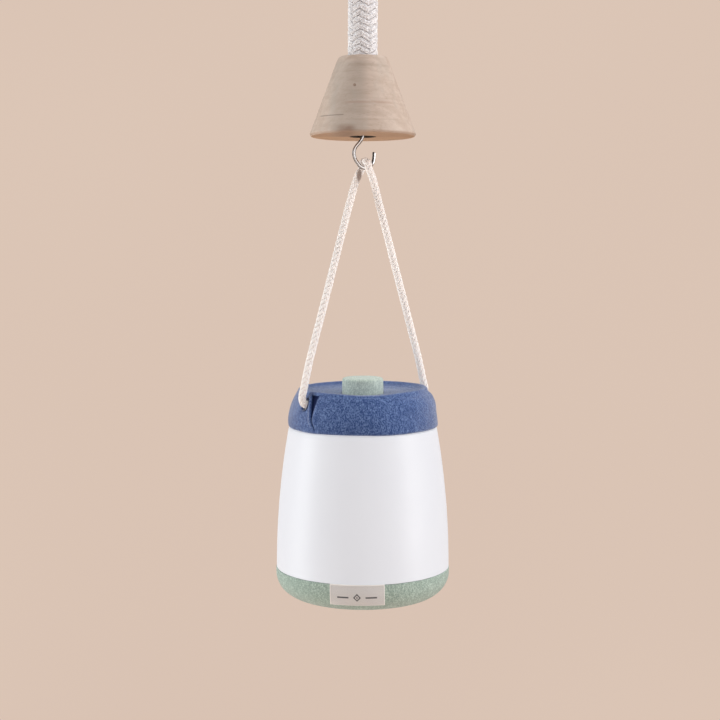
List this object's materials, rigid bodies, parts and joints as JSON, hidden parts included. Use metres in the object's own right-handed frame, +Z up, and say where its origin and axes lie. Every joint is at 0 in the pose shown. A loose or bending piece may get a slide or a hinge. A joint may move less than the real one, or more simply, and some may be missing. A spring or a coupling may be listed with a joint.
{
  "type": "hanging lantern",
  "caption": "Hanging night lantern: felt-capped translucent shade with a push button and light tray, hung by a thin cord from a swivel hook under a wooden cone on a thick cotton rope.",
  "frame": {"origin": "centre of the ceiling rose's flat top face, where the lantern is held to the ceiling", "axes": "+Z up, out of the rose's top face into the ceiling; -Y is the front, where the cloth tag is; +X is to the right seen from the front"},
  "size_m": [0.1138, 0.1148, 0.4959],
  "materials": {
    "wood": "bare turned beech",
    "steel": "zinc plated",
    "hook_steel": "satin wire",
    "brass": "satin",
    "rope_cotton": "braided cotton",
    "cord_cotton": "braided cotton",
    "blue_felt": "brushed felt",
    "green_felt": "brushed felt",
    "shade_plastic": "translucent satin",
    "white_plastic": "moulded",
    "label_cloth": "woven",
    "board": "solder mask",
    "cell": "plain sleeve",
    "led": "clear epoxy",
    "black_plastic": "moulded",
    "red_wire": "insulation"
  },
  "bodies": {
    "ceiling_mount": {"ceiling_rose": "wood", "ceiling_eye": "steel"},
    "rope_ring": {"rope_ring": "steel"},
    "rope": {"screw_eye": "steel", "rope_cap": "wood", "rope_cap_pin": "brass", "thick_rope": "rope_cotton", "rope_cone": "wood", "cone_pin": "steel", "swivel_plug": "brass"},
    "hook": {"swivel_washer": "brass", "cord_hook": "hook_steel"},
    "hanging_cord": {"thin_cord": "cord_cotton"},
    "lantern": {"cord_knot_left": "cord_cotton", "cord_knot_right": "cord_cotton", "cap_cover": "blue_felt", "cap_housing": "white_plastic", "light_tray": "white_plastic", "tray_screw_1": "steel", "tray_screw_2": "steel", "tray_screw_3": "steel", "led_board": "board", "board_screw_1": "steel", "board_screw_2": "steel", "led_1": "led", "led_2": "led", "led_3": "led", "led_4": "led", "led_5": "led", "led_6": "led", "battery_cell_1": "cell", "battery_cell_2": "cell", "battery_cell_3": "cell", "contact_bridge_1": "steel", "contact_bridge_2": "steel", "contact_plus": "steel", "contact_minus": "steel", "wire_red": "red_wire", "wire_black": "black_plastic", "switch_body": "black_plastic", "button_spring": "steel"},
    "button": {"button_cover": "green_felt", "button_core": "white_plastic", "switch_plunger": "black_plastic"},
    "shade": {"diffuser": "shade_plastic", "base_shell": "white_plastic", "base_cover": "green_felt", "fabric_label": "label_cloth"}
  },
  "joints": [
    {"name": "rope_swing_fore_aft", "type": "hinge", "parent": "ceiling_mount", "child": "rope_ring", "pos_m": [0, 0, -0.0298], "axis": [1, 0, 0], "range_deg": [-30, 30]},
    {"name": "rope_swing_side", "type": "hinge", "parent": "rope_ring", "child": "rope", "pos_m": [0, 0, -0.0405], "axis": [0, 1, 0], "range_deg": [-30, 30]},
    {"name": "hook_swivel", "type": "hinge", "parent": "rope", "child": "hook", "pos_m": [0, 0, -0.19], "axis": [0, 0, 1], "continuous": true},
    {"name": "cord_swing", "type": "hinge", "parent": "hook", "child": "hanging_cord", "pos_m": [0, 0, -0.2165], "axis": [1, 0, 0], "range_deg": [-30, 30]},
    {"name": "lantern_tilt", "type": "hinge", "parent": "hanging_cord", "child": "lantern", "pos_m": [0.00151, -0.00237, -0.3669], "axis": [0.8434, 0.5373, 0], "range_deg": [-30, 30]},
    {"name": "button_press", "type": "slide", "parent": "lantern", "child": "button", "axis": [0, 0, -1], "range_m": [0, 0.0025], "stiffness_N_per_m": 300, "springref_m": -0.003, "deforming": ["button_spring"]},
    {"name": "shade_pull", "type": "slide", "parent": "lantern", "child": "shade", "axis": [0, 0, -1], "range_m": [0, 0.06]}
  ]
}
